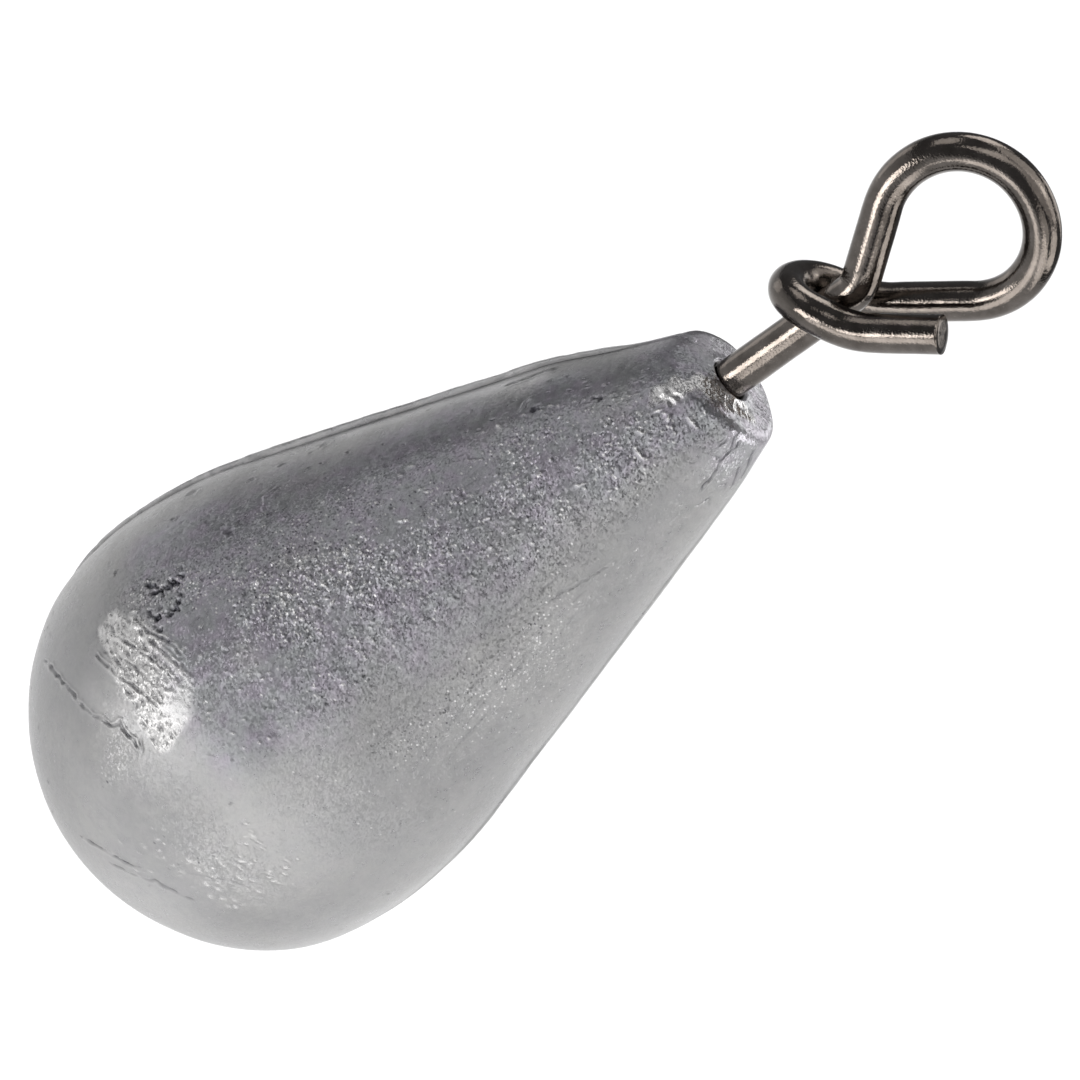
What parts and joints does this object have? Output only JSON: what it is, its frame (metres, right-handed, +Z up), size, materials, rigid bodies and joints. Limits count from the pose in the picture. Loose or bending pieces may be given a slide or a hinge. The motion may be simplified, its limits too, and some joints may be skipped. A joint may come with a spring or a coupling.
{
  "type": "fishing sinker",
  "caption": "Cast teardrop fishing sinker with a swivelling wire eye, whose narrow end pinches the line without a knot.",
  "frame": {"origin": "on the shank's axis, level with the middle of the line eye, where the line holds the sinker", "axes": "+Z up along the shank, from the body to the eye; +X to the right and +Y away, as the picture's camera sees the part upright; the mould's parting plane is the XZ plane"},
  "size_m": [0.0116, 0.0116, 0.0304],
  "materials": {
    "cast_lead": "satin, as cast",
    "black_nickel_wire": "bright dark plating",
    "brass_barrel": "satin",
    "steel_wire": "drawn"
  },
  "bodies": {
    "line_wire": {"wire_eye": "black_nickel_wire"},
    "sinker": {"lead_body": "cast_lead", "swivel_barrel": "brass_barrel", "anchor_eye": "steel_wire"}
  },
  "joints": [
    {"name": "swivel_spin", "type": "hinge", "parent": "line_wire", "child": "sinker", "pos_m": [0, 0, -0.007], "axis": [0, 0, 1], "continuous": true}
  ]
}
